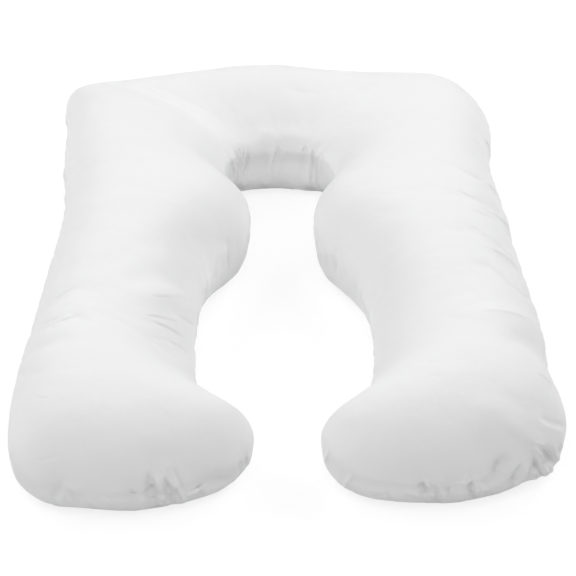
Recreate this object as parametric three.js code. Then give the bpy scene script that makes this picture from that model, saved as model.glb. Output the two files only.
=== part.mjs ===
// A U-shaped full-body pregnancy pillow, as it lies flat on a bed or floor.
// It is sewn from two equal U-shaped panels of plain white fabric, right sides together, turned and
// stuffed, so it is one filled body with one seam all the way round its edge.
// Millimetres, +Z up. The two toes face -Y and the head faces +Y.
import * as THREE from 'three';

const FOOT_SEAM_HEIGHT = 50;       // the seam lies low round the toes
const HEAD_SEAM_HEIGHT = 94;       // and higher round the head and its notch
const SEAM_RISE_FROM = -560;       // y where the seam starts to climb
const SEAM_RISE_TO = 340;          // y where it has climbed
const SEAM_PULL = 5;               // how far the stitches draw the fabric in

const UPPER_STEPS = 22;            // net steps over the top of a section, seam to seam
const CORNER_STEPS = 3;            // net steps round each lower corner
const FLAT_STEPS = 3;              // net steps across the flat underside
const LOWER_CORNER = 0.34;         // part of the half width the lower corner steps cover
const CROWN_REACH = 150;           // distance in from the seam at which the top is at its crown
const FLOOR_REACH = 48;            // distance in from the seam at which the fabric lies on the floor
const FULLNESS = 2.25;             // 2 is a plain quarter ellipse from seam to crown, more is fuller

// Sections from the tip of the left toe, round the head, to the tip of the right toe.
// A section runs straight across the pillow from its outer seam to its inner seam.
// rise is the crown above the seam. lean is the part of it that is lost at the inner seam, where
// the fabric is drawn down. steps is the number of net steps to the next row.
const SECTIONS = [
  // name                 outerX outerY innerX innerY rise lean steps
  ['left toe tip',         -236, -691, -236, -691, 110,    0, 3],
  ['left toe',             -331, -685, -159, -672, 113,    0, 3],
  ['left toe rim',         -404, -663, -105, -643, 120,    0, 3],
  ['left foot front',      -442, -614,  -66, -608, 130,  0.1, 4],
  ['left foot',            -453, -535,  -50, -565, 142, 0.22, 4],
  ['left foot back',       -454, -450,  -62, -526, 148, 0.32, 4],
  ['left calf',            -448, -370, -100, -494, 149, 0.36, 4],
  ['left knee',            -440, -300, -137, -448, 147,  0.3, 4],
  ['left waist low',       -435, -235, -148, -382, 143, 0.15, 4],
  ['left waist',           -430, -170, -153, -285, 141, 0.05, 4],
  ['left waist high',      -424, -110, -150, -195, 141,    0, 4],
  ['left belly',           -417,  -45, -139, -104, 141,    0, 4],
  ['left neck low',        -412,   25, -107,  -18, 139,    0, 4],
  ['left neck',            -408,  100,  -64,   42, 133,    0, 4],
  ['left neck high',       -409,  180,  -50,  107, 127, 0.05, 4],
  ['left notch mouth',     -414,  260,  -58,  170, 124, 0.12, 4],
  ['left notch low',       -420,  345,  -89,  230, 123, 0.22, 4],
  ['left notch',           -424,  435, -104,  298, 123, 0.34, 5],
  ['left notch high',      -430,  540,  -93,  356, 121, 0.44, 6],
  ['left corner',          -436,  633,  -70,  389, 103, 0.48, 5],
  ['left back corner',     -379,  655,  -46,  400, 103, 0.48, 5],
  ['left back',            -261,  669,  -24,  404, 112, 0.48, 4],
  ['back left of middle',  -116,  686,   -8,  406, 124, 0.48, 4],
  ['back middle',             4,  690,    6,  406, 127, 0.48, 4],
  ['back right of middle',  129,  673,   20,  404, 118, 0.48, 4],
  ['right back',            262,  670,   38,  400, 114, 0.48, 5],
  ['right back corner',     366,  657,   60,  393, 114, 0.48, 5],
  ['right corner',          420,  583,   84,  380, 116, 0.44, 6],
  ['right notch high',      443,  476,  106,  344, 118, 0.38, 5],
  ['right notch',           434,  388,  115,  289, 120, 0.28, 4],
  ['right notch low',       422,  305,  101,  223, 122, 0.18, 4],
  ['right notch mouth',     422,  225,   72,  160, 123,  0.1, 4],
  ['right neck high',       427,  150,   62,   95, 127, 0.04, 4],
  ['right neck',            431,   70,   69,   32, 132,    0, 4],
  ['right neck low',        433,   -5,  100,  -26, 138,    0, 4],
  ['right belly',           435,  -70,  135, -106, 140,    0, 4],
  ['right waist high',      438, -135,  154, -195, 140,    0, 4],
  ['right waist',           442, -195,  158, -280, 140, 0.05, 4],
  ['right waist low',       447, -255,  147, -377, 142, 0.14, 4],
  ['right knee',            449, -315,  133, -446, 146, 0.26, 4],
  ['right calf',            448, -380,  102, -497, 148,  0.3, 4],
  ['right foot back',       444, -448,   66, -533, 148, 0.26, 4],
  ['right foot',            450, -520,   48, -568, 142, 0.18, 4],
  ['right foot front',      449, -584,   60, -616, 130, 0.08, 3],
  ['right toe rim',         387, -636,  100, -657, 120,    0, 3],
  ['right toe',             322, -672,  158, -678, 113,    0, 3],
  ['right toe tip',         239, -685,  239, -685, 110,    0, 0],
];

// Main folds, each along a straight line over the fabric. height is above 0 for a ridge and below
// 0 for a trough, and reach is how far it spreads to each side.
const FOLDS = [
  // name                   fromX fromY fromZ   toX   toY  toZ height reach
  ['left waist ridge',       -231, -295, 190, -156, -210, 110,  5, 18],
  ['left waist trough',      -224, -358, 185, -156, -338, 100, -6, 15],
  ['left waist low trough',  -196, -405, 165, -154, -365,  95, -6, 15],
  ['left arm band',          -316, -226, 203,  -91,    5, 110, -2.5, 24],
  ['left arm upper band',    -231, -154, 198,  -96,  -20, 120, -2.5, 22],
  ['left arm lower band',    -326, -313, 201, -146, -139, 100, -2.5, 22],
  ['left side crease',       -436, -302, 120, -341, -277, 196, -5, 16],
  ['left side low crease',   -438, -358, 120, -341, -388, 196, -5, 16],
  ['left side dent',         -436, -420, 120, -361, -434, 187, -5, 28],
  ['right side crease 1',     330,  132, 203,  429,   90, 130, -5, 15],
  ['right side crease 2',     330,    8, 209,  434,   -5, 110, -6, 15],
  ['right side crease 3',     369,  -29, 192,  436,  -38, 110, -6, 14],
  ['right side crease 4',     337, -113, 208,  432, -215, 120, -7, 16],
  ['right side crease 5',     350, -225, 199,  436, -310, 120, -7, 16],
  ['right side ridge',        325, -385, 200,  429, -350, 130,  5, 16],
  ['right side hollow',       372, -454, 180,  444, -385, 100, -8, 28],
  ['right foot ridge',        384, -470, 170,  444, -545,  90,  4, 18],
  ['left toe pucker 1',      -217, -660, 100, -206, -678,  30, -6, 12],
  ['left toe pucker 2',      -186, -658, 100, -173, -665,  35, -5, 12],
  ['left toe pucker 3',      -351, -666,  70, -347, -668,  28, -4, 12],
  ['left toe pucker 4',      -245, -678,  65, -242, -677,  30, -4, 12],
  ['left toe pucker 5',      -148, -655,  65, -139, -652,  31, -5, 12],
  ['left toe pucker 6',       -76, -609,  70,  -66, -593,  36, -5, 12],
  ['left foot hollow',       -425, -624,  65, -409, -639,  31, -5, 18],
  ['right toe crease',         54, -592,  75,   66, -610,  45, -6, 12],
  ['right toe pucker 1',      204, -668,  75,  231, -671,  22, -5, 12],
  ['right toe pucker 2',      254, -670,  60,  255, -671,  25, -4, 12],
  ['right toe pucker 3',      287, -664,  65,  295, -662,  30, -5, 12],
  ['right toe hollow',        302, -652, 105,  333, -646,  37, -9, 22],
  ['right toe pucker 4',      354, -630,  80,  381, -613,  20, -6, 14],
  ['right foot hollow',       391, -610,  60,  438, -573,  46, -8, 18],
  ['right foot big ridge',    309, -610, 160,  419, -598,  85,  7, 20],
  ['right corner crease',     398, -590, 131,  444, -570,  85, -5, 12],
  ['right side nick',         409,  348, 155,  440,  340, 105, -7, 13],
  ['head hump',               -56,  560, 210,   24,  580, 212,  4, 60],
  ['notch left shoulder',     -66,  400, 132,  -20,  420, 134,  4, 15],
  ['notch shoulder',          -20,  420, 134,   34,  420, 134,  4, 15],
  ['notch right shoulder',     34,  420, 134,   78,  398, 132,  4, 15],
  ['notch left pleat 1',      -95,  368, 128,  -92,  375,  20, -4, 7],
  ['notch left pleat 2',      -80,  384, 128,  -76,  390,  20, -4, 7],
  ['notch left pleat 3',      -64,  396, 128,  -62,  402,  20, -3, 7],
  ['notch middle fold',         1,  412, 130,  -16,  416,  15,  4, 8],
  ['notch right pleat 1',      62,  398, 128,   60,  405,  20, -4, 7],
  ['notch right pleat 2',      80,  388, 128,   76,  394,  20, -4, 7],
  ['notch right pleat 3',      97,  372, 128,   92,  380,  20, -3, 7],
];
const FOLD_SIDE_LIMIT = 70;        // a fold does not reach through to the far side of the pillow
const FLOOR_CLEAR = 12;            // fabric this near the floor keeps its flat lie

function sectionRows() {
  return SECTIONS.map(([name, outerX, outerY, innerX, innerY, rise, lean, steps]) => (
    { name, outer: [outerX, outerY], inner: [innerX, innerY], rise, lean, steps }
  ));
}

function foldLines() {
  return FOLDS.map(([name, fromX, fromY, fromZ, toX, toY, toZ, height, reach]) => ({
    name,
    line: new THREE.Line3(new THREE.Vector3(fromX, fromY, fromZ), new THREE.Vector3(toX, toY, toZ)),
    height,
    reach,
  }));
}

// One closed line out along the outer edge and back along the inner edge, so both toes are round.
function seamLine(rows) {
  const points = rows.map((row) => new THREE.Vector3(...row.outer, 0));
  for (let i = rows.length - 2; i > 0; i -= 1) {
    points.push(new THREE.Vector3(...rows[i].inner, 0));
  }
  return new THREE.CatmullRomCurve3(points, true, 'catmullrom', 0.5);
}

function seamHeight(y) {
  const climbed = THREE.MathUtils.smoothstep(y, SEAM_RISE_FROM, SEAM_RISE_TO);
  return THREE.MathUtils.lerp(FOOT_SEAM_HEIGHT, HEAD_SEAM_HEIGHT, climbed);
}

// The marks round a section. across goes from 1 at the outer seam to -1 at the inner seam.
function sectionRing() {
  const ring = [];
  const flatHalf = 1 - LOWER_CORNER;
  for (let i = 0; i < UPPER_STEPS; i += 1) {
    const cosine = Math.cos((Math.PI * i) / UPPER_STEPS);
    ring.push({ across: Math.sign(cosine) * Math.abs(cosine) ** (2 / FULLNESS), upper: true, seam: i === 0 });
  }
  for (let i = 0; i < CORNER_STEPS; i += 1) {
    const angle = (Math.PI / 2) * (i / CORNER_STEPS);
    ring.push({ across: -1 + LOWER_CORNER * (1 - Math.cos(angle)), upper: false, seam: i === 0 });
  }
  for (let i = 0; i < FLAT_STEPS; i += 1) {
    ring.push({ across: -flatHalf + (2 * flatHalf * i) / FLAT_STEPS, upper: false, seam: false });
  }
  for (let i = 0; i < CORNER_STEPS; i += 1) {
    const angle = (Math.PI / 2) * (1 - i / CORNER_STEPS);
    ring.push({ across: 1 - LOWER_CORNER * (1 - Math.cos(angle)), upper: false, seam: false });
  }
  return ring;
}

// Distance in from the seam. Every short piece of the seam counts by the fourth power of its
// nearness, so opposite edges blend smoothly and a toe or a corner is thinner than an arm.
function insetFromSeam(x, y, pieces) {
  let nearness = 0;
  pieces.forEach(({ from, along, length }) => {
    const toX = x - from.x;
    const toY = y - from.y;
    const start = -(toX * along.x + toY * along.y);
    const end = start + length;
    const aside = Math.max(Math.abs(toX * along.y - toY * along.x), 0.5);
    const share = (s) => s / (2 * aside ** 2 * (aside ** 2 + s ** 2)) + Math.atan(s / aside) / (2 * aside ** 3);
    nearness += share(end) - share(start);
  });
  return ((2 * nearness) / Math.PI) ** (-1 / 3);
}

function quarterCurve(part, fullness) {
  return (1 - (1 - Math.min(1, part)) ** fullness) ** (1 / fullness);
}

function sectionPoint(place, mark, pieces) {
  const { outer, inner, rise, lean } = place;
  const middle = new THREE.Vector3().addVectors(outer, inner).multiplyScalar(0.5);
  const half = new THREE.Vector3().subVectors(outer, inner).multiplyScalar(0.5);
  const point = middle.addScaledVector(half, mark.across);
  if (mark.seam) {
    return point.setZ(seamHeight(point.y));
  }
  const inset = insetFromSeam(point.x, point.y, pieces);
  const seam = seamHeight(point.y);
  if (mark.upper) {
    const crown = rise * (1 - lean * ((1 - mark.across) / 2) ** 2);
    return point.setZ(seam + crown * quarterCurve(inset / CROWN_REACH, FULLNESS));
  }
  return point.setZ(seam * (1 - quarterCurve(inset / FLOOR_REACH, 2)));
}

function sectionPlaces(rows, line) {
  const spans = 2 * (rows.length - 1);
  const places = [];
  rows.forEach((row, index) => {
    for (let step = 0; step < row.steps; step += 1) {
      const part = step / row.steps;
      const next = rows[index + 1];
      places.push({
        outer: line.getPoint((index + part) / spans),
        inner: line.getPoint(1 - (index + part) / spans),
        rise: THREE.MathUtils.lerp(row.rise, next.rise, part),
        lean: THREE.MathUtils.lerp(row.lean, next.lean, part),
      });
    }
  });
  return places.slice(1);
}

function seamPieces(places, tips) {
  const corners = [
    tips[0],
    ...places.map((place) => place.outer),
    tips[1],
    ...places.map((place) => place.inner).reverse(),
  ];
  return corners.map((from, index) => {
    const along = corners[(index + 1) % corners.length].clone().sub(from);
    const length = along.length();
    return { from, along: along.divideScalar(length), length };
  });
}

function netPoints(rows, ring, line, places) {
  const tips = [line.getPoint(0), line.getPoint(0.5)];
  const pieces = seamPieces(places, tips);
  const points = places.flatMap((place) => ring.map((mark) => sectionPoint(place, mark, pieces)));
  tips.forEach((tip) => points.push(tip.clone().setZ(seamHeight(tip.y))));
  return points;
}

function netFaces(stations, around) {
  const faces = [];
  for (let i = 0; i + 1 < stations; i += 1) {
    for (let j = 0; j < around; j += 1) {
      const a = i * around + j;
      const b = i * around + ((j + 1) % around);
      faces.push(a, b, a + around, b, b + around, a + around);
    }
  }
  const leftTip = stations * around;
  const lastRing = leftTip - around;
  for (let j = 0; j < around; j += 1) {
    const next = (j + 1) % around;
    faces.push(leftTip, next, j);
    faces.push(leftTip + 1, lastRing + j, lastRing + next);
  }
  return faces;
}

function closedSkin(points, faces) {
  const skin = new THREE.BufferGeometry();
  skin.setAttribute('position', new THREE.Float32BufferAttribute(points.flatMap((p) => p.toArray()), 3));
  skin.setIndex(faces);
  skin.computeVertexNormals();
  return skin;
}

// How far a fold lifts the fabric at a point. The distance to the fold's line is taken along the
// fabric, so the part of it that points out of the fabric does not count.
function foldLift(folds, point, outward) {
  const near = new THREE.Vector3();
  return folds.reduce((lift, fold) => {
    fold.line.closestPointToPoint(point, true, near);
    near.sub(point);
    const depth = near.dot(outward);
    if (Math.abs(depth) > FOLD_SIDE_LIMIT) {
      return lift;
    }
    const alongFabric = near.addScaledVector(outward, -depth).length();
    return lift + fold.height * Math.exp(-((alongFabric / fold.reach) ** 2));
  }, 0);
}

// Lifts the fabric along its folds and draws it in along the seam, whose height stays as it is.
function foldedPoints(points, skin, ring, folds) {
  const outward = new THREE.Vector3();
  return points.map((point, index) => {
    outward.fromBufferAttribute(skin.getAttribute('normal'), index);
    const lift = foldLift(folds, point, outward) * THREE.MathUtils.smoothstep(point.z, 0, FLOOR_CLEAR);
    const isTip = index >= points.length - 2;
    if (isTip || ring[index % ring.length].seam) {
      const drawn = point.clone().addScaledVector(outward.setZ(0).normalize(), lift - SEAM_PULL);
      return drawn.setZ(seamHeight(drawn.y));
    }
    return point.clone().addScaledVector(outward, lift);
  });
}

function pillowSkin() {
  const rows = sectionRows();
  const ring = sectionRing();
  const line = seamLine(rows);
  const places = sectionPlaces(rows, line);
  const points = netPoints(rows, ring, line, places);
  const faces = netFaces(places.length, ring.length);
  const smooth = closedSkin(points, faces);
  return closedSkin(foldedPoints(points, smooth, ring, foldLines()), faces);
}

const pillow = new THREE.Mesh(
  pillowSkin(),
  new THREE.MeshStandardMaterial({ color: 0xf4f4f2, roughness: 0.9, metalness: 0 }),
);
pillow.name = 'pillow';

const part = new THREE.Group();
part.name = 'pregnancy_pillow';
part.add(pillow);

export default part;
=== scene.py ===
# %% [markdown]
# A U-shaped pregnancy pillow in plain white fabric
#
# The real pillow is two equal U-shaped panels of smooth white fabric, sewn together all the way
# round, turned right side out and stuffed with loose filling. This lesson takes the plain CAD
# solid of it and gives it what a hand would feel: fabric that is drawn in at the seam and puckers
# beside it, creases where the arms bend, pleats in the round notch and filling that lies unevenly.

# %% The frame
import math
import bpy
import numpy as np
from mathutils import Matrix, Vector, noise
from mathutils.bvhtree import BVHTree
from mathutils.kdtree import KDTree


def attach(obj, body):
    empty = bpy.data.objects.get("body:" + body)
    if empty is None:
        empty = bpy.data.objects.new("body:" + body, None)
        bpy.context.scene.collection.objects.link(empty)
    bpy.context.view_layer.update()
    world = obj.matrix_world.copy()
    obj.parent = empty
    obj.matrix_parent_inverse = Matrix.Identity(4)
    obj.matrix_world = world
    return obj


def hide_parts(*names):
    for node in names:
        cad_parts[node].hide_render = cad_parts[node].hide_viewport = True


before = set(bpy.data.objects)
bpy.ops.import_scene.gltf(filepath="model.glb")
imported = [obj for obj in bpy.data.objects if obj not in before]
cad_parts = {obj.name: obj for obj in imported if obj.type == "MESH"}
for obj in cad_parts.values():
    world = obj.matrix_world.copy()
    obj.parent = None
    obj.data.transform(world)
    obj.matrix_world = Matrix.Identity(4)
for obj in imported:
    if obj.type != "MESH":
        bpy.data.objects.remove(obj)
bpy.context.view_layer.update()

# %% [markdown]
# The camera
#
# The photograph looks down on the foot end from about 30 degrees, with a little over three metres
# between the lens and the feet. A long lens keeps them only a little larger than the head end.

# %% Camera
PHOTO_SIDE = 576
CAMERA_PLACE = Vector((-0.069, -3.198, 1.87))
CAMERA_TURN = (math.radians(60), 0, math.radians(-1.5))
SENSOR_WIDTH = 36
LENS = 124.06

eye = bpy.data.cameras.new("eye")
eye.lens = LENS
eye.sensor_width = SENSOR_WIDTH
eye.clip_start = 0.1
camera = bpy.data.objects.new("camera", eye)
camera.location = CAMERA_PLACE
camera.rotation_euler = CAMERA_TURN
bpy.context.collection.objects.link(camera)
bpy.context.scene.camera = camera
print("camera", LENS, "mm at", CAMERA_PLACE[:])

# %% [markdown]
# The light
#
# The real pillow was lit from all round in a white studio: the top and both sides are bright, also
# inside the U, and only the walls that face the camera turn grey. Six large soft lamps stand round
# and above it, most of them to the sides and behind, and a pale room fills in a little.

# %% Lamps
LAMPS = [
    # name              place              size  watts
    ("front_high_lamp", (0.0, -3.0, 4.2),  3.0,  100),
    ("left_high_lamp",  (-3.2, 0.2, 3.0),  2.4,  62),
    ("right_high_lamp", (3.2, 0.2, 3.0),   2.4,  56),
    ("left_back_lamp",  (-2.6, 2.7, 2.7),  2.4,  50),
    ("right_back_lamp", (2.6, 2.7, 2.7),   2.4,  76),
    ("left_front_lamp", (-2.8, -2.4, 3.4), 2.4,  22),
]
LAMP_TARGET = Vector((0, 0.1, 0.1))


def soft_lamp(name, place, size, watts):
    """A square lamp of that size in metres, turned towards the middle of the pillow."""
    lamp = bpy.data.lights.new(name, "AREA")
    lamp.shape = "SQUARE"
    lamp.size = size
    lamp.energy = watts
    holder = bpy.data.objects.new(name, lamp)
    holder.location = place
    holder.rotation_euler = (LAMP_TARGET - Vector(place)).to_track_quat("-Z", "Y").to_euler()
    bpy.context.collection.objects.link(holder)


for row in LAMPS:
    soft_lamp(*row)
print(len(LAMPS), "lamps")

# %% [markdown]
# The room and the floor
#
# The ground in the photograph is pure white, with hardly a shadow. Light Path tells a surface what
# kind of ray has met it. To the camera the room and most of the floor simply look white, while for
# all other light the room is dim and the floor is plain pale paint, so neither floods the low
# edge of the pillow.

# %% A pale room
ROOM_LIGHT = 0.08
ROOM_LOOK = 0.95

world = bpy.data.worlds.new("pale_room")
bpy.context.scene.world = world
world.use_nodes = True
room = world.node_tree.nodes
room_links = world.node_tree.links
room["Background"].inputs["Color"].default_value = (1, 1, 1, 1)
room["Background"].inputs["Strength"].default_value = ROOM_LIGHT
white_walls = room.new("ShaderNodeBackground")
white_walls.inputs["Color"].default_value = (1, 1, 1, 1)
white_walls.inputs["Strength"].default_value = ROOM_LOOK
room_rays = room.new("ShaderNodeLightPath")
room_mix = room.new("ShaderNodeMixShader")
room_links.new(room_rays.outputs["Is Camera Ray"], room_mix.inputs["Fac"])
room_links.new(room["Background"].outputs["Background"], room_mix.inputs[1])
room_links.new(white_walls.outputs["Background"], room_mix.inputs[2])
room_links.new(room_mix.outputs["Shader"], room["World Output"].inputs["Surface"])
bpy.context.scene.view_settings.view_transform = "Standard"
print("room light", ROOM_LIGHT)

# %% A pale floor
FLOOR_SIDE = 40
FLOOR_PAINT = 0.95
FLOOR_ROUGHNESS = 0.9
FLOOR_GLOW = 1.03
FLOOR_WHITENESS = 0.8

bpy.ops.object.select_all(action="DESELECT")
bpy.ops.mesh.primitive_plane_add(size=FLOOR_SIDE, location=(0, 0, 0))
floor = bpy.context.object
floor.name = "floor"
floor_paint = bpy.data.materials.new("pale_floor")
floor_paint.use_nodes = True
paint_nodes = floor_paint.node_tree.nodes
paint_links = floor_paint.node_tree.links
paint = paint_nodes["Principled BSDF"]
paint.inputs["Base Color"].default_value = (FLOOR_PAINT, FLOOR_PAINT, FLOOR_PAINT, 1)
paint.inputs["Roughness"].default_value = FLOOR_ROUGHNESS
lit_ground = paint_nodes.new("ShaderNodeEmission")
lit_ground.inputs["Color"].default_value = (1, 1, 1, 1)
lit_ground.inputs["Strength"].default_value = FLOOR_GLOW
floor_rays = paint_nodes.new("ShaderNodeLightPath")
share = paint_nodes.new("ShaderNodeMath")
share.operation = "MULTIPLY"
share.inputs[1].default_value = FLOOR_WHITENESS
floor_mix = paint_nodes.new("ShaderNodeMixShader")
paint_links.new(floor_rays.outputs["Is Camera Ray"], share.inputs[0])
paint_links.new(share.outputs[0], floor_mix.inputs["Fac"])
paint_links.new(paint.outputs["BSDF"], floor_mix.inputs[1])
paint_links.new(lit_ground.outputs["Emission"], floor_mix.inputs[2])
paint_links.new(floor_mix.outputs["Shader"], paint_nodes["Material Output"].inputs["Surface"])
floor.data.materials.append(floor_paint)
print("floor", tuple(floor.dimensions))

# %% [markdown]
# The cover, before it is filled
#
# The CAD solid has the pillow's real size and main folds, but as loose triangles. A copy of it is
# merged and its pairs of triangles joined into squares, because squares subdivide evenly and
# cloth folds along them without a grain of diagonals.

# %% A merged copy in squares
MERGE_WITHIN = 0.00001
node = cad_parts["pillow"]
cover = bpy.data.objects.new("pillow_cover", node.data.copy())
bpy.context.collection.objects.link(cover)


def edit(action):
    """Runs one edit-mode step on the whole cover."""
    bpy.ops.object.select_all(action="DESELECT")
    cover.select_set(True)
    bpy.context.view_layer.objects.active = cover
    bpy.ops.object.mode_set(mode="EDIT")
    action()
    bpy.ops.object.mode_set(mode="OBJECT")


def join_squares():
    bpy.ops.mesh.select_all(action="SELECT")
    bpy.ops.mesh.remove_doubles(threshold=MERGE_WITHIN)
    bpy.ops.mesh.tris_convert_to_quads(
        face_threshold=math.pi, shape_threshold=math.pi, topology_influence=2)
    bpy.ops.mesh.select_all(action="DESELECT")


edit(join_squares)
print("net", len(cover.data.vertices), "points,", len(cover.data.polygons), "faces")

# %% [markdown]
# The seam
#
# Both panels meet in one seam that runs round the outer edge and back along the inner edge. On the
# real pillow it climbs from the low, flat feet to the fat head end. The seam's points are found by
# that height, marked as a seam, and the two panels are unwrapped flat from it, the way the maker's
# paper pattern is laid out. The weave follows that pattern later.

# %% The seam and the paper pattern
SEAM_FOOT_HEIGHT = 0.050
SEAM_HEAD_HEIGHT = 0.094
SEAM_RISE_FROM = -0.56
SEAM_RISE_TO = 0.34
SEAM_TOLERANCE = 0.00002
PATTERN_MARGIN = 0.01


def points_of(mesh):
    flat = np.empty(len(mesh.vertices) * 3)
    mesh.vertices.foreach_get("co", flat)
    return flat.reshape(-1, 3)


def edges_of(mesh):
    flat = np.empty(len(mesh.edges) * 2, dtype=np.int32)
    mesh.edges.foreach_get("vertices", flat)
    return flat.reshape(-1, 2)


def smooth_step(value, low, high):
    part = np.clip((value - low) / (high - low), 0, 1)
    return part * part * (3 - 2 * part)


def seam_height(y):
    climbed = smooth_step(y, SEAM_RISE_FROM, SEAM_RISE_TO)
    return SEAM_FOOT_HEIGHT + (SEAM_HEAD_HEIGHT - SEAM_FOOT_HEIGHT) * climbed


seam_net = points_of(cover.data)
on_seam = np.abs(seam_net[:, 2] - seam_height(seam_net[:, 1])) < SEAM_TOLERANCE
seam_edges = [i for i, pair in enumerate(edges_of(cover.data)) if on_seam[pair].all()]
for i in seam_edges:
    cover.data.edges[i].use_seam = True


def unwrap_panels():
    bpy.ops.mesh.select_all(action="SELECT")
    bpy.ops.uv.unwrap(method="ANGLE_BASED", margin=PATTERN_MARGIN)
    bpy.ops.mesh.select_all(action="DESELECT")


edit(unwrap_panels)
cover.data.uv_layers.active.name = "paper_pattern"
seam_pairs = edges_of(cover.data)[seam_edges]
seam_steps = seam_net[seam_pairs[:, 0]] - seam_net[seam_pairs[:, 1]]
seam_length = np.linalg.norm(seam_steps, axis=1).sum()
print("seam", len(seam_edges), "edges,", round(float(seam_length), 2), "m round")

# %% How far a point is from the seam
PLACES_PER_EDGE = 8


def tree_of(places):
    """A tree that quickly finds the nearest of the places."""
    near = KDTree(len(places))
    for k, place in enumerate(places):
        near.insert(place, k)
    near.balance()
    return near


def distance_to(near, points):
    return np.array([near.find(point)[2] for point in points])


def places_on_seam():
    places = []
    for a, b in seam_pairs:
        for part in range(PLACES_PER_EDGE):
            places.append(seam_net[a] + (seam_net[b] - seam_net[a]) * part / PLACES_PER_EDGE)
    return places


seam_tree = tree_of(places_on_seam())


def seam_distance(points):
    return distance_to(seam_tree, points)


print("seam found by", len(seam_pairs) * PLACES_PER_EDGE, "places")

# %% A finer net
def finer():
    """One Catmull-Clark step, applied."""
    bpy.ops.object.select_all(action="DESELECT")
    cover.select_set(True)
    bpy.context.view_layer.objects.active = cover
    step = cover.modifiers.new("finer", "SUBSURF")
    step.levels = 1
    step.render_levels = 1
    bpy.ops.object.modifier_apply(modifier="finer")


finer()
print("finer net", len(cover.data.vertices), "points")

# %% [markdown]
# Filling the cover
#
# Stuffing presses the fabric out, and the seam, which is a little shorter than the fabric beside
# it, holds it back. That is what puckers a pillow's edge. Blender's Cloth does it with pressure
# and no gravity, and a vertex group that shrinks along the seam. The whole shape would swell far
# past its real size, so only the wrinkles are kept: the movement that is left once its smooth
# part is taken away, and never more than a few millimetres. Taut fabric on the crown of the arms
# shows hardly any, so each place keeps its own share of them.

# %% Which places keep their wrinkles
CALM_SHARE = 0.12
SEAM_SHARE = 0.60
SEAM_SHARE_REACH = 0.045
FOOT_SHARE = 0.08
FOOT_FROM = -0.52
FOOT_TO = -0.30
NOTCH_PLACE = (0.0, 0.40)
NOTCH_RADIUS = 0.13
NOTCH_SHARE = 0.15
RESTLESS_PLACES = [
    # name                    x      y   radius  share
    ("left waist",         -0.17, -0.30, 0.13, 0.55),
    ("left side",          -0.42, -0.33, 0.12, 0.35),
    ("right upper side",    0.43,  0.08, 0.16, 0.45),
    ("right lower side",    0.44, -0.18, 0.16, 0.40),
    ("right foot corner",   0.42, -0.58, 0.13, 0.50),
    ("head back",           0.00,  0.70, 0.30, 0.35),
]


def seam_strength(points):
    """1 over most of the pillow, less at the fronts of the feet and in the notch."""
    feet = FOOT_SHARE + (1 - FOOT_SHARE) * smooth_step(points[:, 1], FOOT_FROM, FOOT_TO)
    away = np.hypot(points[:, 0] - NOTCH_PLACE[0], points[:, 1] - NOTCH_PLACE[1])
    return feet * (1 - (1 - NOTCH_SHARE) * np.exp(-(away / NOTCH_RADIUS) ** 4))


def wrinkle_share(points):
    """The part of the wrinkles that each place keeps, from 0 to 1."""
    share = np.full(len(points), CALM_SHARE)
    near_seam = SEAM_SHARE * np.exp(-(seam_distance(points) / SEAM_SHARE_REACH) ** 2)
    near_seam *= seam_strength(points)
    share = np.maximum(share, near_seam)
    for name, x, y, radius, most in RESTLESS_PLACES:
        away = np.hypot(points[:, 0] - x, points[:, 1] - y)
        share = np.maximum(share, most * np.exp(-(away / radius) ** 2))
    return share[:, None]


print(len(RESTLESS_PLACES), "restless places")

# %% Telling wrinkles from swelling
WRINKLE_CAP = 0.005
SMOOTH_ROUNDS = 12
TINY = 1e-9


def smoothed(values, edges, rounds):
    """Each value moves halfway to the mean of its neighbours, again and again."""
    count = np.bincount(edges.ravel(), minlength=len(values))[:, None]
    for _ in range(rounds):
        total = np.zeros_like(values)
        for axis in range(values.shape[1]):
            total[:, axis] = (
                np.bincount(edges[:, 0], values[edges[:, 1], axis], minlength=len(values))
                + np.bincount(edges[:, 1], values[edges[:, 0], axis], minlength=len(values)))
        values = 0.5 * values + 0.5 * total / count
    return values


def wrinkles(moved):
    """What is left of a movement without its smooth part, and never more than the cap."""
    wrinkle = moved - smoothed(moved, edges_of(cover.data), SMOOTH_ROUNDS)
    size = np.linalg.norm(wrinkle, axis=1, keepdims=True)
    return wrinkle * np.tanh(size / WRINKLE_CAP) / np.maximum(size / WRINKLE_CAP, TINY)


print("wrinkles are kept up to", WRINKLE_CAP * 1000, "mm")

# %% Cloth under pressure
CLOTH_FRAMES = 20
CLOTH_QUALITY = 5
PRESSURE = 1.5
SEAM_REACH = 0.022
SEAM_SHRINK = 0.14
FABRIC_SLACK = -0.05
FABRIC_BENDING = 0.2
WEIGHT_STEPS = 20


def seam_group(points):
    """A vertex group that is full on the seam and fades beside it."""
    group = cover.vertex_groups.new(name="drawn_in")
    weight = np.exp(-(seam_distance(points) / SEAM_REACH) ** 2)
    steps = np.round(weight * WEIGHT_STEPS).astype(int)
    for step in range(1, WEIGHT_STEPS + 1):
        members = np.flatnonzero(steps == step).tolist()
        group.add(members, step / WEIGHT_STEPS, "REPLACE")
    return group.name


def put_points(points):
    cover.data.vertices.foreach_set("co", points.ravel())
    cover.data.update()


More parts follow.
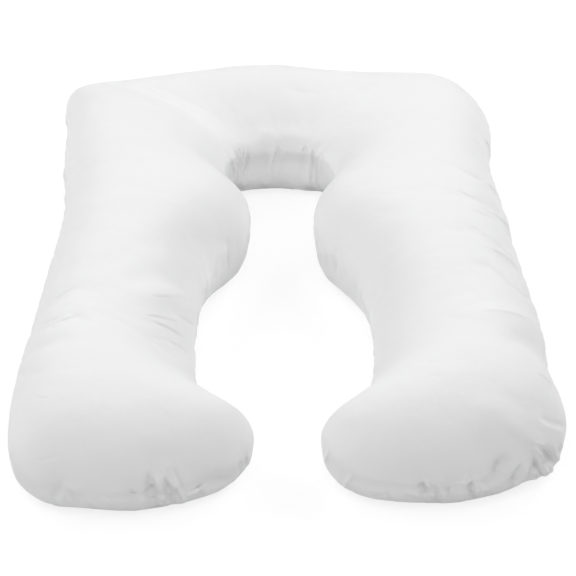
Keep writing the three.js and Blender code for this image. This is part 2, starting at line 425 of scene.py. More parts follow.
def fill_cover():
    before = points_of(cover.data)
    group = seam_group(before)
    cloth = cover.modifiers.new("filling", "CLOTH")
    fabric = cloth.settings
    fabric.quality = CLOTH_QUALITY
    fabric.use_pressure = True
    fabric.uniform_pressure_force = PRESSURE
    fabric.effector_weights.gravity = 0
    fabric.vertex_group_shrink = group
    fabric.shrink_min = FABRIC_SLACK
    fabric.shrink_max = SEAM_SHRINK
    fabric.bending_stiffness = FABRIC_BENDING
    cloth.collision_settings.use_collision = False
    cloth.point_cache.frame_start = 1
    cloth.point_cache.frame_end = CLOTH_FRAMES
    for moment in range(1, CLOTH_FRAMES + 1):
        bpy.context.scene.frame_set(moment)
    bpy.context.view_layer.objects.active = cover
    bpy.ops.object.modifier_apply(modifier="filling")
    moved = points_of(cover.data) - before
    capped = wrinkles(moved)
    put_points(before + capped * wrinkle_share(before))
    bpy.context.scene.frame_set(1)
    print("swelling", round(float(np.abs(moved).max()) * 1000), "mm, wrinkles kept up to",
          round(float(np.linalg.norm(capped, axis=1).max()) * 1000, 1), "mm")


fill_cover()

# %% [markdown]
# Creases, gathers and pleats
#
# The arms are bent a little, so the fabric creases across them. At the feet and in the notch it is
# gathered by the seam below. Each row names one crease and gives three pixels of the photograph
# that it passes through, its depth and its width. A negative depth is a fold that stands up. A ray
# from the camera finds where each pixel lies on the cover.

# %% Creases across the arms and the head
CREASES = [
    # name                       start       middle      end          depth   width  (metres)
    ("left arm soft band",      (122, 262), (165, 266), (203, 274),  0.0014, 0.022),
    ("left arm upper band",     (140, 236), (185, 238), (222, 248),  0.0010, 0.022),
    ("left arm arc",            (148, 294), (173, 297), (198, 308),  0.0013, 0.0032),
    ("left waist crease 1",     (142, 315), (163, 318), (183, 325),  0.0014, 0.0029),
    ("left waist crease 2",     (149, 321), (168, 328), (186, 340),  0.0017, 0.0029),
    ("left waist crease 3",     (165, 338), (180, 347), (194, 361),  0.0018, 0.0028),
    ("left waist crease 4",     (177, 315), (186, 320), (196, 329),  0.0013, 0.0026),
    ("left waist crumple 1",    (151, 336), (163, 339), (176, 339),  0.0006, 0.0026),
    ("left waist crumple 2",    (153, 341), (163, 346), (174, 355), -0.0007, 0.0026),
    ("left side crease 1",      (52, 302),  (64, 294),  (81, 285),   0.0015, 0.0036),
    ("left side crease 2",      (41, 328),  (50, 321),  (59, 318),   0.0012, 0.0028),
    ("left side crease 3",      (54, 325),  (65, 320),  (79, 316),   0.0012, 0.0028),
    ("left side dent 1",        (27, 351),  (45, 345),  (68, 330),   0.0030, 0.0160),
    ("left side dent 2",        (17, 378),  (28, 374),  (42, 366),   0.0020, 0.0110),
    ("left side nip",           (36, 398),  (42, 398),  (48, 397),   0.0005, 0.0024),
    ("left foot low arc",       (60, 456),  (47, 459),  (33, 462),   0.0006, 0.0034),
    ("right arm crease 1",      (453, 167), (470, 174), (486, 183),  0.0015, 0.0032),
    ("right arm crease 1 end",  (485, 182), (492, 189), (498, 199),  0.0015, 0.0030),
    ("right arm crease 2",      (456, 190), (472, 198), (490, 208),  0.0013, 0.0034),
    ("right arm crease 2 low",  (472, 211), (486, 216), (499, 223),  0.0016, 0.0044),
    ("right arm crease 2 sharp",(487, 212), (500, 219), (510, 232),  0.0021, 0.0030),
    ("right arm crease 3 nip",  (468, 228), (475, 229), (482, 233),  0.0005, 0.0030),
    ("right arm crease 3",      (476, 232), (494, 242), (512, 259),  0.0014, 0.0036),
    ("right arm crease 3 low",  (482, 247), (503, 256), (522, 278),  0.0018, 0.0037),
    ("right arm crease 4",      (486, 262), (502, 275), (520, 292),  0.0021, 0.0040),
    ("right arm crease 4 fold", (503, 273), (514, 285), (529, 301), -0.0016, 0.0030),
    ("right arm crease 5",      (519, 281), (525, 291), (531, 303),  0.0022, 0.0037),
    ("right arm low fold",      (478, 310), (506, 311), (532, 321), -0.0014, 0.0041),
    ("right arm nick",          (485, 140), (488, 145), (489, 152),  0.0020, 0.0026),
    ("right side hollow",       (508, 336), (530, 344), (546, 354),  0.0018, 0.0160),
    ("right side fold",         (537, 371), (545, 378), (554, 387), -0.0016, 0.0033),
    ("right foot soft edge",    (494, 389), (514, 402), (534, 418),  0.0014, 0.0140),
    ("right corner fold 1",     (566, 427), (552, 423), (539, 416),  0.0022, 0.0052),
    ("right corner bright fold",(500, 415), (527, 436), (549, 444), -0.0030, 0.0110),
    ("right corner sharp fold", (530, 441), (538, 443), (547, 445), -0.0016, 0.0026),
    ("left corner smudge",      (99, 92),   (100, 105), (99, 121),   0.0020, 0.0150),
    ("head dent left",          (168, 120), (188, 122), (208, 121),  0.0014, 0.0160),
    ("head dent right",         (350, 127), (375, 119), (400, 119),  0.0014, 0.0180),
    ("head crease",             (278, 84),  (300, 92),  (320, 92),   0.0010, 0.0100),
    ("left shoulder dent",      (128, 166), (148, 163), (168, 160),  0.0012, 0.0160),
    ("left upper arm dent",     (98, 193),  (125, 187), (152, 184),  0.0012, 0.0180),
]
print(len(CREASES), "creases")

# %% Gathers along the rim of the feet
RIM_GATHERS = [
    # name                       start       middle      end          depth   width  (metres)
    ("left rim gather 1",       (64, 478),  (59, 490),  (52, 504),   0.0034, 0.0060),
    ("left rim fold 0",         (60, 490),  (64, 497),  (68, 504),  -0.0024, 0.0040),
    ("left rim gather 2",       (65, 486),  (71, 495),  (75, 504),   0.0034, 0.0050),
    ("left rim gather 3",       (76, 490),  (81, 497),  (84, 506),   0.0022, 0.0045),
    ("left rim gather 4",       (84, 500),  (89, 500),  (95, 501),   0.0016, 0.0030),
    ("left rim gather 5",       (95, 493),  (98, 500),  (100, 507),  0.0018, 0.0040),
    ("left rim gather 6",       (104, 497), (108, 498), (112, 502),  0.0014, 0.0028),
    ("left rim gather 7",       (130, 485), (134, 495), (137, 507),  0.0030, 0.0055),
    ("left rim valley 1",       (148, 470), (152, 488), (158, 508),  0.0085, 0.0070),
    ("left rim fold 1",         (151, 468), (158, 484), (165, 503), -0.0046, 0.0045),
    ("left rim valley 2",       (162, 476), (169, 489), (173, 505),  0.0070, 0.0060),
    ("left rim fold 2",         (166, 476), (174, 486), (182, 500), -0.0040, 0.0036),
    ("left rim fold 3",         (163, 464), (171, 471), (176, 484), -0.0022, 0.0045),
    ("left rim valley 3",       (169, 466), (176, 475), (185, 492),  0.0026, 0.0040),
    ("left rim tuck",           (205, 483), (199, 488), (190, 492),  0.0034, 0.0032),
    ("left rim tuck side",      (200, 483), (201, 490), (202, 497),  0.0026, 0.0038),
    ("left toe gather 1",       (236, 458), (240, 465), (242, 473),  0.0026, 0.0036),
    ("left toe gather 2",       (243, 456), (246, 463), (248, 470),  0.0026, 0.0036),
    ("left toe dark side",      (204, 474), (222, 480), (240, 474),  0.0080, 0.0150),
    ("right corner valley 1",   (532, 455), (537, 466), (540, 475),  0.0062, 0.0042),
    ("right corner fold 2",     (532, 447), (539, 453), (549, 468), -0.0044, 0.0027),
    ("right corner valley 2",   (540, 447), (548, 454), (553, 463),  0.0082, 0.0062),
    ("right corner fold 3",     (551, 450), (554, 455), (557, 460), -0.0024, 0.0024),
    ("right corner valley 3",   (554, 446), (558, 450), (560, 454),  0.0020, 0.0044),
    ("right rim fold 4",        (527, 458), (531, 467), (534, 477), -0.0030, 0.0036),
    ("right rim valley 3",      (520, 460), (515, 472), (511, 486),  0.0080, 0.0070),
    ("right rim fold 5",        (525, 461), (523, 471), (518, 483), -0.0050, 0.0050),
    ("right rim hollow",        (504, 452), (500, 470), (492, 486),  0.0120, 0.0140),
    ("right rim fold 6",        (509, 464), (503, 478), (490, 490), -0.0040, 0.0065),
    ("right rim valley 4",      (472, 479), (472, 489), (473, 498),  0.0054, 0.0046),
    ("right rim fold 7",        (468, 471), (466, 482), (462, 494), -0.0034, 0.0050),
    ("right rim fold 7 side",   (475, 480), (481, 489), (492, 492), -0.0026, 0.0045),
    ("right rim dimple 1",      (447, 485), (449, 492), (449, 499),  0.0034, 0.0036),
    ("right rim valley 5",      (421, 479), (424, 489), (426, 499),  0.0056, 0.0052),
    ("right rim fold 8",        (426, 479), (432, 488), (439, 500), -0.0036, 0.0042),
    ("right rim tuck",          (438, 490), (437, 496), (436, 503),  0.0052, 0.0064),
    ("right rim gather 1",      (385, 490), (388, 496), (391, 501),  0.0026, 0.0040),
    ("right rim gather 2",      (371, 493), (376, 494), (381, 495),  0.0014, 0.0030),
    ("right rim gather 3",      (403, 493), (411, 498), (418, 502),  0.0030, 0.0055),
    ("right corner bulge",      (526, 477), (545, 470), (557, 457), -0.0080, 0.0150),
    ("right toe gather 1",      (354, 472), (350, 479), (345, 487), -0.0022, 0.0038),
    ("right toe gather 2",      (330, 449), (327, 457), (322, 466), -0.0026, 0.0036),
]
print(len(RIM_GATHERS), "gathers and folds at the rim")

# %% Pleats in the notch
PLEATS = [
    # name                       start       middle      end          depth   width  (metres)
    ("left pleat 1",            (231, 158), (232, 168), (235, 176),  0.0020, 0.0030),
    ("left pleat 2",            (235, 151), (237, 156), (238, 163),  0.0016, 0.0025),
    ("left pleat 3",            (239, 147), (240, 158), (239, 176),  0.0030, 0.0032),
    ("left pleat 4",            (243, 147), (243, 157), (242, 172),  0.0020, 0.0028),
    ("left pleat 5",            (247, 148), (247, 162), (243, 181),  0.0028, 0.0032),
    ("left pleat 6",            (234, 166), (234, 173), (233, 179),  0.0024, 0.0030),
    ("left pleat ridge 1",      (237, 147), (239, 153), (242, 159), -0.0016, 0.0025),
    ("left pleat ridge 2",      (245, 147), (245, 157), (243, 172), -0.0014, 0.0025),
    ("left pleat ridge 3",      (238, 158), (238, 168), (237, 181), -0.0014, 0.0025),
    ("middle fold",             (277, 144), (273, 160), (265, 186), -0.0022, 0.0035),
    ("middle fold side",        (278, 145), (275, 158), (269, 178),  0.0018, 0.0045),
    ("middle faint fold",       (287, 147), (281, 162), (275, 178), -0.0008, 0.0040),
    ("right pleat 1",           (309, 153), (309, 160), (309, 168),  0.0014, 0.0028),
    ("right pleat ridge 1",     (312, 148), (310, 160), (311, 187), -0.0020, 0.0026),
    ("right pleat 2",           (313, 148), (313, 165), (312, 189),  0.0030, 0.0034),
    ("right pleat ridge 2",     (315, 147), (315, 158), (315, 178), -0.0012, 0.0025),
    ("right pleat 3",           (318, 156), (318, 166), (319, 189),  0.0022, 0.0030),
    ("right pleat 4",           (322, 151), (320, 160), (320, 174),  0.0022, 0.0028),
    ("right pleat ridge 3",     (323, 150), (321, 157), (321, 172), -0.0014, 0.0025),
    ("right pleat top 1",       (304, 146), (305, 149), (305, 153),  0.0014, 0.0030),
    ("right pleat top 2",       (302, 146), (302, 148), (303, 151), -0.0010, 0.0028),
]
print(len(PLEATS), "pleats and folds in the notch")

# %% Where they lie on the cover
MISSED_STEP = 0.08
MISSED_STEPS = 8


def photo_ray(pixel):
    """The direction from the camera through a pixel of the square photograph."""
    focal = LENS / SENSOR_WIDTH * PHOTO_SIDE
    half = PHOTO_SIDE / 2
    across = Vector(((pixel[0] - half) / focal, (half - pixel[1]) / focal, -1)).normalized()
    return camera.rotation_euler.to_matrix() @ across


def cover_tree():
    corners = [v.co.copy() for v in cover.data.vertices]
    return BVHTree.FromPolygons(corners, [face.vertices[:] for face in cover.data.polygons])


def place_on_cover(tree, pixel, inwards):
    """Where the pixel lies on the cover. Past its edge, the ray steps back towards a second pixel."""
    for step in range(MISSED_STEPS):
        back = step * MISSED_STEP
        tried = [a + (b - a) * back for a, b in zip(pixel, inwards)]
        place = tree.ray_cast(CAMERA_PLACE, photo_ray(tried))[0]
        if place is not None:
            return place
    return None


def crease_line(start, middle, end, steps=24):
    """Points along a smooth curve through three places."""
    bend = middle * 2 - (start + end) / 2
    along = [i / steps for i in range(steps + 1)]
    curve = [start * (1 - t) ** 2 + bend * 2 * t * (1 - t) + end * t ** 2 for t in along]
    return np.array([place[:] for place in curve])


def lines_from_photo(rows, tree, to_rim=False):
    """Each crease as a line in space, its depth, its width and whether it runs out over the rim."""
    lines = []
    for name, start, middle, end, depth, width in rows:
        pairs = ((start, middle), (middle, start), (end, middle))
        places = [place_on_cover(tree, pixel, inwards) for pixel, inwards in pairs]
        if None in places:
            print("not on the cover:", name, [place is None for place in places])
            continue
        lines.append((crease_line(*places), depth, width, to_rim))
    return lines


tree = cover_tree()
lines = lines_from_photo(CREASES + PLEATS, tree) + lines_from_photo(RIM_GATHERS, tree, to_rim=True)
print(len(lines), "creases, gathers and pleats lie on the cover")

# %% [markdown]
# A finer net where it shows
#
# Creases a few millimetres wide need a net of about that size, but only on the fabric that shows.
# So only the band beside the seam and the places with narrow creases are subdivided, and those with
# the sharpest ones again. A little smoothing afterwards takes out the ripples of subdividing.

# %% Subdividing near the creases
SUBDIVISIONS = [
    # creases narrower than   reach  (metres)
    (0.0120,                  0.022),
    (0.0065,                  0.011),
    (0.0036,                  0.007),
]
SEAM_ZONE = 0.042
UNDERSIDE_NORMAL = -0.5
RIPPLE_SHARE = 0.5
RIPPLE_ROUNDS = 2


def place_of_faces(mesh):
    flat = np.empty(len(mesh.polygons) * 3)
    mesh.polygons.foreach_get("center", flat)
    return flat.reshape(-1, 3)


def normal_of_faces(mesh):
    flat = np.empty(len(mesh.polygons) * 3)
    mesh.polygons.foreach_get("normal", flat)
    return flat.reshape(-1, 3)


def subdivide_faces(chosen):
    """Each chosen face becomes four, and the new points follow the round of the surface."""
    cover.data.polygons.foreach_set("select", np.zeros(len(cover.data.polygons), dtype=bool))
    cover.data.edges.foreach_set("select", np.zeros(len(cover.data.edges), dtype=bool))
    cover.data.vertices.foreach_set("select", np.zeros(len(cover.data.vertices), dtype=bool))
    cover.data.polygons.foreach_set("select", chosen)

    def split():
        bpy.ops.mesh.select_mode(type="FACE")
        bpy.ops.mesh.subdivide(number_cuts=1, smoothness=1)
        bpy.ops.mesh.vertices_smooth(factor=RIPPLE_SHARE, repeat=RIPPLE_ROUNDS)
        bpy.ops.mesh.select_all(action="DESELECT")

    edit(split)


for step, (narrower, reach) in enumerate(SUBDIVISIONS):
    centres = place_of_faces(cover.data)
    places = np.concatenate([line for line, depth, width, to_rim in lines if width < narrower])
    chosen = distance_to(tree_of(places), centres) < reach
    if step == 0:
        chosen |= seam_distance(centres) < SEAM_ZONE
        chosen &= normal_of_faces(cover.data)[:, 2] > UNDERSIDE_NORMAL
    subdivide_faces(chosen)
    print("finer within", reach * 1000, "mm:", int(chosen.sum()), "faces")
print("net for the folds", len(cover.data.vertices), "points,",
      sum(len(face.vertices) - 2 for face in cover.data.polygons), "triangles")

# %% [markdown]
# Pressing them in
#
# Each crease is a soft valley with a low ridge beside it, or a ridge alone where its depth is
# negative. It fades at both ends, and one at the rim runs on towards the seam. Every point of the
# cover near it moves along its own normal. Where the camera doesn't reach, gathers of the same kind
# run up and down from the seam at uneven steps.

# %% Pressing creases into the cover
FOLD_STRENGTH = 1.15
RIDGE_SHARE = 0.45
RIM_EASE = 0.65
PRESSED_THROUGH = 0.03
# in widths of the crease
RIDGE_PLACE = 1.9
RIDGE_WIDTH = 1.3
END_SPREAD = 1.5
CREASE_REACH = 5
# in parts of the crease's length
START = (-0.02, 0.3)
END = (0.7, 1.02)
RIM_START = (-0.02, 0.45)
RIM_END = (0.6, 1)
SEAM_END = (0.25, 1)


def normals_of(mesh):
    flat = np.empty(len(mesh.vertices) * 3)
    mesh.vertex_normals.foreach_get("vector", flat)
    return flat.reshape(-1, 3)


def crease_lift(points, normals, line, depth, width, to_rim=False, from_seam=False):
    """How far each point moves along its normal for one crease."""
    lift = np.zeros(len(points))
    reach = CREASE_REACH * width
    inside = np.all((points > line.min(0) - reach) & (points < line.max(0) + reach), axis=1)
    chosen = np.flatnonzero(inside)
    if not len(chosen):
        return lift
    gaps = points[chosen][:, None, :] - line[None, :, :]
    nearest = np.argmin((gaps ** 2).sum(2), axis=1)
    step = np.gradient(line, axis=0)[nearest]
    step /= np.maximum(np.linalg.norm(step, axis=1, keepdims=True), TINY)
    gap = gaps[np.arange(len(chosen)), nearest]
    depth_gap = np.einsum("ij,ij->i", gap, normals[chosen])
    side = np.einsum("ij,ij->i", gap, np.cross(normals[chosen], step))
    along = np.einsum("ij,ij->i", gap, step)
    part = nearest / (len(line) - 1)
    if from_seam:
        fade = 1 - smooth_step(part, *SEAM_END)
    elif to_rim:
        fade = smooth_step(part, *RIM_START) * (1 - RIM_EASE * smooth_step(part, *RIM_END))
    else:
        fade = smooth_step(part, *START) * (1 - smooth_step(part, *END))
    fade = fade * np.exp(-(along / (END_SPREAD * width)) ** 2) * (np.abs(depth_gap) < PRESSED_THROUGH)
    valley = -np.exp(-(side / width) ** 2)
    ridge = RIDGE_SHARE * np.exp(-((side - RIDGE_PLACE * width) / (RIDGE_WIDTH * width)) ** 2)
    lift[chosen] = depth * fade * (valley + (ridge if depth > 0 else 0))
    return lift


net = points_of(cover.data)
normals = normals_of(cover.data)
lift = np.zeros(len(net))
for line, depth, width, to_rim in lines:
    lift += crease_lift(net, normals, line, depth * FOLD_STRENGTH, width, to_rim)
print("deepest crease", round(float(lift.min()) * 1000, 1), "mm, highest fold",
      round(float(lift.max()) * 1000, 1), "mm")

# %% Gathers along the seam
GATHER_SPACING = 0.030
GATHER_DEPTH = 0.0013
GATHER_HEIGHT = 0.040
GATHER_WIDTH = 0.0055
GATHER_BELOW = 0.6
# share, pace and offset of each swing
SPACING_SWINGS = [(0.45, 2.4, 0), (0.3, 5.3, 1)]
HEIGHT_SWINGS = [(0.45, 1.7, 0.4)]
DEPTH_SWINGS = [(0.6, 3.3, 0.5)]
BACK_FROM = 0.30
BACK_TO = 0.60
BACK_DEEPER = 0.7
HAND_MADE_FRONT = -0.545
HAND_MADE_NOTCH = 0.14


def swing(k, swings):
    """A number round 1 that differs from gather to gather and is the same each run."""
    value = 1
    for share, pace, offset in swings:
        value += share * math.sin(pace * k + offset)
    return value


def seam_loop():
    """The seam's points in order, once round."""
    neighbours = {}
    for a, b in seam_pairs:
        neighbours.setdefault(int(a), []).append(int(b))
        neighbours.setdefault(int(b), []).append(int(a))
    loop = [int(seam_pairs[0][0])]
    loop.append(neighbours[loop[0]][0])
    while len(loop) < len(neighbours):
        loop.append([n for n in neighbours[loop[-1]] if n != loop[-2]][0])
    return np.array([seam_net[i] for i in loop])


def way_round(loop):
    """The closed loop, and the way travelled to each of its points."""
    closed = np.vstack([loop, loop[:1]])
    steps = np.linalg.norm(np.diff(closed, axis=0), axis=1)
    return closed, np.concatenate([[0], np.cumsum(steps)])


def seam_stations(loop):
    """Places at uneven steps round the seam."""
    closed, travelled = way_round(loop)
    at = 0.0
    k = 0
    while at < travelled[-1]:
        place = [np.interp(at, travelled, closed[:, axis]) for axis in range(3)]
        yield k, Vector(place)
        at += GATHER_SPACING * swing(k, SPACING_SWINGS)
        k += 1


tree = cover_tree()
count = 0
for k, place in seam_stations(seam_loop()):
    in_notch = math.hypot(place.x - NOTCH_PLACE[0], place.y - NOTCH_PLACE[1]) < HAND_MADE_NOTCH
    if place.y < HAND_MADE_FRONT or in_notch:
        continue
    height = GATHER_HEIGHT * swing(k, HEIGHT_SWINGS)
    depth = GATHER_DEPTH * swing(k, DEPTH_SWINGS)
    depth *= 1 + BACK_DEEPER * float(smooth_step(place.y, BACK_FROM, BACK_TO))
    for reach in (height, -GATHER_BELOW * height):
        middle = tree.find_nearest(place + Vector((0, 0, reach / 2)))[0]
        end = tree.find_nearest(place + Vector((0, 0, reach)))[0]
        gather = crease_line(place, middle, end)
        lift += crease_lift(net, normals, gather, depth, GATHER_WIDTH, from_seam=True)
        count += 1
print(count, "gathers")

# %% [markdown]
# Uneven filling, and the groove at the seam
#
# Loose filling never lies quite evenly, so the whole cover rises and sinks a little. The thread of
# the seam pulls a narrow groove. The cloth's shrinking seam has drawn the rim in a little, so some
# of it is given back. Near the floor all of it fades, because the underside lies flat.

# %% Filling that lies unevenly
LUMPS = [
    # size    height  (metres)
    (0.110, 0.0016),
    (0.045, 0.0006),
]


def lumps(points):
    """Soft unevenness of loose filling, from smooth noise that is the same each run."""
    total = np.zeros(len(points))
    for size, height in LUMPS:
        total += height * np.array([noise.noise(Vector(p) / size) for p in points])
    return total


lift += lumps(net)
print("lumps up to", round(sum(height for size, height in LUMPS) * 1000, 1), "mm")

# %% The groove at the seam
SEAM_GROOVE = 0.0025
SEAM_GROOVE_WIDTH = 0.004
RIM_GIVEN_BACK = 0.0035
RIM_GIVEN_REACH = 0.020
FLOOR_CLEAR = 0.012

seam_gap = seam_distance(net)
lift -= SEAM_GROOVE * seam_strength(net) * np.exp(-(seam_gap / SEAM_GROOVE_WIDTH) ** 2)
lift += RIM_GIVEN_BACK * seam_strength(net) * np.exp(-(seam_gap / RIM_GIVEN_REACH) ** 2)
lift *= smooth_step(net[:, 2], 0, FLOOR_CLEAR)
shaped = net + normals * lift[:, None]
print("groove", SEAM_GROOVE * 1000, "mm deep along the seam")

# %% [markdown]
# The back wall of the notch and the two back corners
#
# The notch's back wall is pulled taut between the panels, so its foot comes forward and the wall
# drops straight down. Under the two back corners of the head end the lower panel is rounded and
# drawn in, so that they don't stand on the floor as sharp edges.

# %% The notch's back wall
WALL_PUSH = 0.013
WALL_HALF_WIDTH = 0.100
WALL_STRAIGHT = 0.6
WALL_FROM = 0.37
WALL_TO = 0.46
WALL_FADE = 0.02
WALL_RISE = (0, 0.005)
WALL_FALL = (0.03, 0.085)


def notch_wall_push(points, normals):
    """How far the foot of the notch's back wall comes forward, so that it drops straight down."""
    share = smooth_step(points[:, 2], *WALL_RISE) * (1 - smooth_step(points[:, 2], *WALL_FALL))
    middle = WALL_STRAIGHT * WALL_HALF_WIDTH
    share *= 1 - smooth_step(np.abs(points[:, 0]), middle, WALL_HALF_WIDTH)
    share *= smooth_step(points[:, 1], WALL_FROM, WALL_FROM + WALL_FADE)
    share *= 1 - smooth_step(points[:, 1], WALL_TO - WALL_FADE, WALL_TO)
    return WALL_PUSH * share * np.clip(-normals[:, 1], 0, 1)


wall_push = notch_wall_push(net, normals)
shaped[:, 1] -= wall_push
print("foot of the wall", round(float(wall_push.max()) * 1000, 1), "mm forward")

# %% The two back corners
CORNER_TUCKS = [
    # name          corner         inside         (metres)
    ("left corner",  (-0.42, 0.64), (-0.30, 0.50)),
    ("right corner", (0.39, 0.65),  (0.28, 0.50)),
]
CORNER_RADIUS = 0.12
CORNER_DRAWN_IN = 0.014
CORNER_ROUNDS = 60
CORNER_FADE = (0.02, 0.10)


def corner_tuck(points):
    """How the lower panel is rounded and drawn in under the two corners of the head end."""
    moved = np.zeros_like(points)
    softer = smoothed(points, edges_of(cover.data), CORNER_ROUNDS) - points
    low = 1 - smooth_step(points[:, 2], *CORNER_FADE)
    for name, corner, inside in CORNER_TUCKS:
        away = np.hypot(points[:, 0] - corner[0], points[:, 1] - corner[1])
        way = np.array(inside) - np.array(corner)
        way /= np.linalg.norm(way)
        share = (low * np.exp(-(away / CORNER_RADIUS) ** 2))[:, None]
        moved += share * softer
        moved[:, :2] += share * CORNER_DRAWN_IN * way
    return moved


tuck = corner_tuck(shaped)
shaped += tuck
shaped[:, 2] = np.maximum(shaped[:, 2], 0)
put_points(shaped)
print("corners moved up to", round(float(np.linalg.norm(tuck, axis=1).max()) * 1000), "mm")

# %% [markdown]
# The fabric
#
# The cover is smooth, closely woven white cotton. From a step away only a soft sheen, a slight
# crumple and small puckers beside the seam show. Up close there is the plain weave, threads over
# and under about half a millimetre apart, some a little thicker than others. A picture of cloth
# would blur and repeat, so all of it is computed. The threads follow the paper pattern, as real
# ones do, and the puckers follow the seam, through numbers kept at each point of the mesh.

# %% Numbers the fabric needs at each point
MARK_STEP = 0.004


def seam_marks(loop):
    """Places at even steps round the seam, with the shorter way round to each from its start."""
    closed, travelled = way_round(loop)
    at = np.arange(0, travelled[-1], MARK_STEP)
    marks = np.stack([np.interp(at, travelled, closed[:, axis]) for axis in range(3)], axis=1)
    return marks, np.minimum(at, travelled[-1] - at)


def keep_on_points(name, values):
    layer = cover.data.attributes.new(name, "FLOAT", "POINT")
    layer.data.foreach_set("value", np.asarray(values, dtype=np.float32))


marks, way = seam_marks(seam_loop())
mark_tree = tree_of(marks)
found = [mark_tree.find(place) for place in net]
keep_on_points("along_seam", way[[index for _, index, _ in found]])
keep_on_points("from_seam", [gap for _, _, gap in found])
keep_on_points("pucker_share", seam_strength(net))
print("kept on", len(net), "points: along_seam, from_seam, pucker_share")

# %% How many metres the paper pattern covers
def pattern_scale(mesh):
    """Metres on the cover for one unit of the paper pattern."""
    corners = np.empty(len(mesh.loops) * 2)
    mesh.uv_layers["paper_pattern"].data.foreach_get("uv", corners)
    corners = corners.reshape(-1, 2)
    flat_area = 0.0
    for face in mesh.polygons:
        ring = corners[face.loop_start:face.loop_start + face.loop_total]
        after = np.roll(ring, -1, axis=0)
        flat_area += abs((ring[:, 0] * after[:, 1] - ring[:, 1] * after[:, 0]).sum()) / 2
    return math.sqrt(sum(face.area for face in mesh.polygons) / flat_area)


PATTERN_METRES = pattern_scale(cover.data)
print("one unit of the pattern is", round(PATTERN_METRES, 3), "m")

# %% Helpers for joining nodes
def add(tree, kind, **settings):
    node = tree.nodes.new("ShaderNode" + kind)
    for name, value in settings.items():
        setattr(node, name, value)
    return node


def calculate(tree, operation, first, second=None):
    """A Math node. first and second are sockets or plain numbers."""
    node = add(tree, "Math", operation=operation)
    for socket, value in zip(node.inputs, (first, second)):
        if isinstance(value, (int, float)):
            socket.default_value = value
        elif value is not None:
            tree.links.new(value, socket)
    return node.outputs[0]


print("add makes a node, calculate a Math node")

# %% [markdown]
# The plain weave, as a node group
#
# A weave is two sets of threads at right angles. Each set is a row of round backs, the absolute
# value of a sine. Which set lies on top changes from thread to thread like a chessboard, which the
# product of two cosines gives. The higher of the two is the height of the cloth.

# %% Plain weave
THREADS_PER_METRE = 2000
BACKS_APART = 1.3
WEAVE_SCALE = 0.45


def make_plain_weave():
    group = bpy.data.node_groups.new("plain_weave", "ShaderNodeTree")
    face = group.interface
    face.new_socket("Vector", in_out="INPUT", socket_type="NodeSocketVector")
    threads = face.new_socket("Threads per metre", in_out="INPUT", socket_type="NodeSocketFloat")
    threads.default_value = THREADS_PER_METRE
    face.new_socket("Height", in_out="OUTPUT", socket_type="NodeSocketFloat")
    inside = group.nodes.new("NodeGroupInput")
    outside = group.nodes.new("NodeGroupOutput")
    split = add(group, "SeparateXYZ")
    group.links.new(inside.outputs["Vector"], split.inputs[0])
    count = inside.outputs["Threads per metre"]
    backs = []
    waves = []
    for side in ("X", "Y"):
        passed = calculate(group, "MULTIPLY", split.outputs[side], count)
        turn = calculate(group, "MULTIPLY", passed, math.pi)
        backs.append(calculate(group, "ABSOLUTE", calculate(group, "SINE", turn)))
        waves.append(calculate(group, "COSINE", turn))
    chess = calculate(group, "MULTIPLY", *waves)
    over_a = calculate(group, "MULTIPLY", calculate(group, "ADD", chess, BACKS_APART), backs[0])
    over_b = calculate(group, "MULTIPLY", calculate(group, "SUBTRACT", BACKS_APART, chess), backs[1])
    higher = calculate(group, "MAXIMUM", over_a, over_b)
    height = calculate(group, "MULTIPLY", higher, WEAVE_SCALE)
    group.links.new(height, outside.inputs["Height"])
    return group


plain_weave = make_plain_weave()
print("node group", plain_weave.name, "with", len(plain_weave.nodes), "nodes")

# %% [markdown]
# White cotton
#
# Three Bump nodes in a row lay the crumple, the puckers and the weave over each other, the coarse
# ones first. Colour and roughness drift a little from place to place. Sheen stands for the short
# fibres that catch light along the edges of a fold.

# %% White cotton
COTTON_SPECULAR = 0.3
SHEEN_WEIGHT = 0.12
SHEEN_ROUGHNESS = 0.5

cotton = bpy.data.materials.new("white_cotton")
cotton.use_nodes = True
board = cotton.node_tree
shader = board.nodes["Principled BSDF"]
shader.inputs["Specular IOR Level"].default_value = COTTON_SPECULAR
shader.inputs["Sheen Weight"].default_value = SHEEN_WEIGHT
shader.inputs["Sheen Roughness"].default_value = SHEEN_ROUGHNESS
print("material", cotton.name)

# %% Crumple, puckers and weave
CRUMPLE_SCALE = 24
CRUMPLE_DETAIL = 3
CRUMPLE_ROUGHNESS = 0.45
CRUMPLE_DEPTH = 0.0018
PUCKERS_PER_METRE = 75
PUCKER_STRETCH = 6
PUCKER_REACH = 0.040
PUCKER_DEPTH = 0.0030
WEAVE_DEPTH = 0.00004


def noise_texture(vector, scale, detail, roughness=0.5):
    texture = add(board, "TexNoise")
    texture.inputs["Scale"].default_value = scale
    texture.inputs["Detail"].default_value = detail
    texture.inputs["Roughness"].default_value = roughness
    board.links.new(vector, texture.inputs["Vector"])
    return texture.outputs["Fac"]


def bump(height, depth, below=None):
    """Adds a Bump node on top of the one below it. depth is in metres."""
    node = add(board, "Bump")
    node.inputs["Strength"].default_value = 1
    node.inputs["Distance"].default_value = depth
    board.links.new(height, node.inputs["Height"])
    if below:
        board.links.new(below, node.inputs["Normal"])
    return node.outputs["Normal"]


def point_number(name):
    return add(board, "Attribute", attribute_name=name).outputs["Fac"]


place_on_pillow = add(board, "TexCoord").outputs["Object"]
pattern = add(board, "UVMap", uv_map="paper_pattern").outputs["UV"]
in_metres = add(board, "Mapping")
in_metres.inputs["Scale"].default_value = (PATTERN_METRES, PATTERN_METRES, 1)
board.links.new(pattern, in_metres.inputs["Vector"])

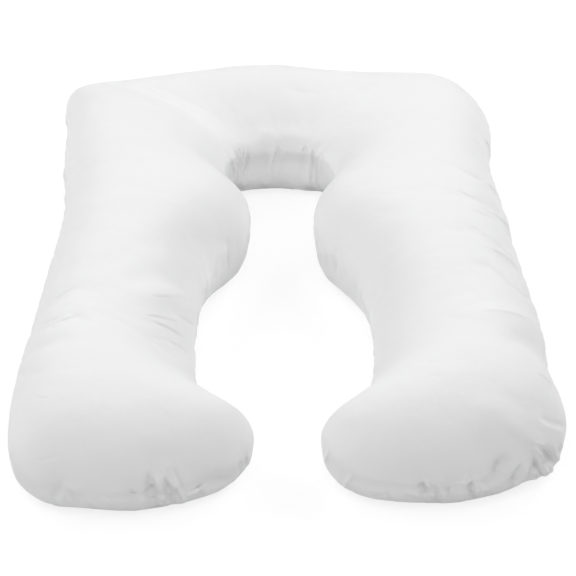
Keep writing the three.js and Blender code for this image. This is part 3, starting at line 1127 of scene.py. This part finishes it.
folds = noise_texture(place_on_pillow, CRUMPLE_SCALE, CRUMPLE_DETAIL, CRUMPLE_ROUGHNESS)
crumple = bump(folds, CRUMPLE_DEPTH)

pucker_place = add(board, "CombineXYZ")
along = calculate(board, "MULTIPLY", point_number("along_seam"), PUCKERS_PER_METRE)
across_rate = PUCKERS_PER_METRE / PUCKER_STRETCH
outwards = calculate(board, "MULTIPLY", point_number("from_seam"), across_rate)
board.links.new(along, pucker_place.inputs["X"])
board.links.new(outwards, pucker_place.inputs["Y"])
fade = add(board, "MapRange", interpolation_type="SMOOTHSTEP")
fade.inputs["From Max"].default_value = PUCKER_REACH
fade.inputs["To Min"].default_value = 1
fade.inputs["To Max"].default_value = 0
board.links.new(point_number("from_seam"), fade.inputs["Value"])
kept = calculate(board, "MULTIPLY", fade.outputs["Result"], point_number("pucker_share"))
waves = noise_texture(pucker_place.outputs["Vector"], 1, 1)
puckers = bump(calculate(board, "MULTIPLY", waves, kept), PUCKER_DEPTH, crumple)

weave = add(board, "Group", node_tree=plain_weave)
weave.inputs["Threads per metre"].default_value = THREADS_PER_METRE
board.links.new(in_metres.outputs["Vector"], weave.inputs["Vector"])
board.links.new(bump(weave.outputs["Height"], WEAVE_DEPTH, puckers), shader.inputs["Normal"])
print("bumps of", CRUMPLE_DEPTH, PUCKER_DEPTH, "and", WEAVE_DEPTH, "m")

# %% Colour and roughness
BRIGHT_COTTON = (0.795, 0.795, 0.795, 1)
SHADED_COTTON = (0.768, 0.768, 0.772, 1)
SMOOTHEST_COTTON = 0.78
ROUGHEST_COTTON = 0.94
DRIFT_SCALE = 5
DRIFT_DETAIL = 2
DRIFT_SHARE = 0.6
THREAD_SHARE = 0.4
THICK_FOR = 40
THICK_WIDTH = 2

drift = noise_texture(place_on_pillow, DRIFT_SCALE, DRIFT_DETAIL)
thread_place = add(board, "Mapping")
thread_scale = (THREADS_PER_METRE / THICK_FOR, THREADS_PER_METRE / THICK_WIDTH, 1)
thread_place.inputs["Scale"].default_value = thread_scale
board.links.new(in_metres.outputs["Vector"], thread_place.inputs["Vector"])
thick_threads = noise_texture(thread_place.outputs["Vector"], 1, 1)
drift_tone = calculate(board, "MULTIPLY", drift, DRIFT_SHARE)
thread_tone = calculate(board, "MULTIPLY", thick_threads, THREAD_SHARE)
tone = calculate(board, "ADD", drift_tone, thread_tone)
colour = add(board, "Mix", data_type="RGBA")
colour.inputs["A"].default_value = BRIGHT_COTTON
colour.inputs["B"].default_value = SHADED_COTTON
board.links.new(tone, colour.inputs["Factor"])
board.links.new(colour.outputs["Result"], shader.inputs["Base Color"])
roughness = add(board, "MapRange")
roughness.inputs["To Min"].default_value = SMOOTHEST_COTTON
roughness.inputs["To Max"].default_value = ROUGHEST_COTTON
board.links.new(tone, roughness.inputs["Value"])
board.links.new(roughness.outputs["Result"], shader.inputs["Roughness"])
cover.data.materials.clear()
cover.data.materials.append(cotton)
for face in cover.data.polygons:
    face.use_smooth = True
print("white cotton with", len(board.nodes), "nodes")

# %% Telling the frame about the cover
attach(cover, "root")
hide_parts("pillow")
triangles = sum(len(face.vertices) - 2 for face in cover.data.polygons)
print("pillow_cover", triangles, "triangles")
